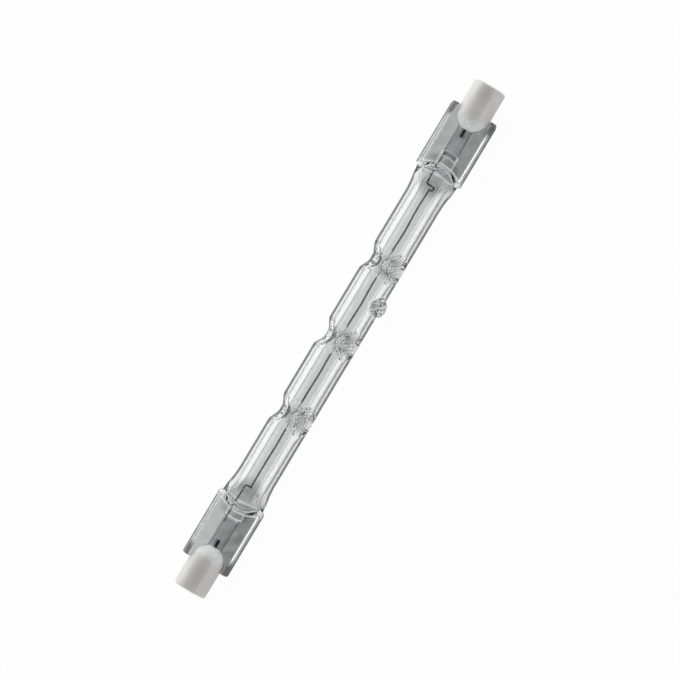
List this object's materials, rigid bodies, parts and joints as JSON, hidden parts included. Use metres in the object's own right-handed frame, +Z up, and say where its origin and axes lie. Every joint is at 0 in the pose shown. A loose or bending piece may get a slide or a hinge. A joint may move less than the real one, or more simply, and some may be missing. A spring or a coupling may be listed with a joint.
{
  "type": "linear halogen bulb",
  "caption": "Double-ended clear quartz lamp with dented tube, straight coiled filament, flat pinch seals and white ceramic caps with recessed contacts.",
  "frame": {"origin": "on the surface the lamp lies on, under the middle of its length and axis", "axes": "+X along the lamp towards the end with the hooked lead, +Z up; the lamp lies rolled on its tube and on one rim of each pinch seal"},
  "size_m": [0.1176, 0.0109, 0.0082],
  "materials": {
    "clear_quartz": "fire-polished, clear",
    "tungsten": "drawn wire, dark",
    "white_steatite": "unglazed, fine matt",
    "cap_cement": "matt",
    "molybdenum_foil": "rolled, satin",
    "molybdenum_wire": "drawn wire, satin",
    "nickel_plate": "nickel plated"
  },
  "bodies": {
    "root": {"quartz_envelope": "clear_quartz", "filament": "tungsten", "ceramic_cap_left": "white_steatite", "cap_cement_left": "cap_cement", "seal_foil_left": "molybdenum_foil", "inner_lead_left": "molybdenum_wire", "outer_lead_left": "molybdenum_wire", "contact_left": "nickel_plate", "ceramic_cap_right": "white_steatite", "cap_cement_right": "cap_cement", "seal_foil_right": "molybdenum_foil", "inner_lead_right": "molybdenum_wire", "outer_lead_right": "molybdenum_wire", "contact_right": "nickel_plate"}
  },
  "joints": []
}
